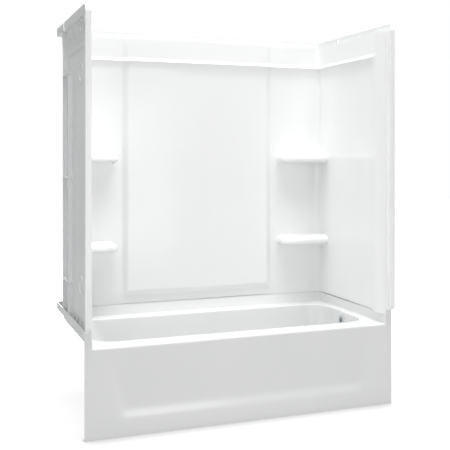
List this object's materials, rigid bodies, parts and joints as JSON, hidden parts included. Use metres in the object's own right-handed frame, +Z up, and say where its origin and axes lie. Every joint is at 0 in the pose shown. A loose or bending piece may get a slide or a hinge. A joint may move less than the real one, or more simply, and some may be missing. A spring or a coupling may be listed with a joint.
{
  "type": "tub and shower combo",
  "caption": "White alcove bath with a recessed apron and a three-piece shower surround with corner shelves; chrome trip-lever overflow works the drain plunger.",
  "frame": {"origin": "centre of the bounding box on the floor: z 0 is the floor under the apron", "axes": "+X to the drain end (right in the picture), +Y to the back wall, +Z up"},
  "size_m": [1.524, 0.794, 1.88],
  "materials": {
    "white_moulding": "glossy white moulded composite",
    "plywood": "plain plywood and softwood",
    "white_nylon": "natural white nylon",
    "polished_chrome": "polished chrome plate",
    "plain_brass": "plain machined brass",
    "black_rubber": "soft black rubber",
    "black_pipe_plastic": "satin black moulded pipe plastic",
    "white_tube_plastic": "satin white extruded tube",
    "grey_washer_plastic": "grey washer plastic"
  },
  "bodies": {
    "fixture": {"bath": "white_moulding", "support_board": "plywood", "support_runners": "plywood", "back_wall": "white_moulding", "left_end_wall": "white_moulding", "right_end_wall": "white_moulding", "left_wall_rivets": "white_nylon", "right_wall_rivets": "white_nylon", "overflow_plate": "polished_chrome", "plate_screws": "polished_chrome", "lever_bracket": "plain_brass", "hinge_pin": "plain_brass", "overflow_gasket": "black_rubber", "overflow_elbow": "black_pipe_plastic", "elbow_nut": "black_pipe_plastic", "elbow_washer": "grey_washer_plastic", "overflow_tube": "white_tube_plastic", "tee_top_nut": "black_pipe_plastic", "tee_top_washer": "grey_washer_plastic", "waste_tee": "black_pipe_plastic", "tee_side_nut": "black_pipe_plastic", "tee_side_washer": "grey_washer_plastic", "shoe_tube": "white_tube_plastic", "drain_shoe": "black_pipe_plastic", "shoe_gasket": "black_rubber", "drain_flange": "polished_chrome", "strainer": "polished_chrome", "strainer_screw": "polished_chrome"},
    "lever": {"trip_lever": "polished_chrome"},
    "linkage": {"link_yoke": "plain_brass", "yoke_pin": "plain_brass", "link_rod": "plain_brass", "rod_locknut": "plain_brass", "plunger": "plain_brass"}
  },
  "joints": [
    {"name": "linkage_slide", "type": "slide", "parent": "fixture", "child": "linkage", "axis": [0, 0, 1], "range_m": [0, 0.02328]},
    {"name": "lever_hinge", "type": "hinge", "parent": "fixture", "child": "lever", "pos_m": [0.693, -0.005, 0.34], "axis": [0, -1, 0], "range_deg": [0, 40]}
  ],
  "couplings": [
    {"joint": "lever_hinge", "follows": "linkage_slide", "rad_per_m": 29.97}
  ]
}
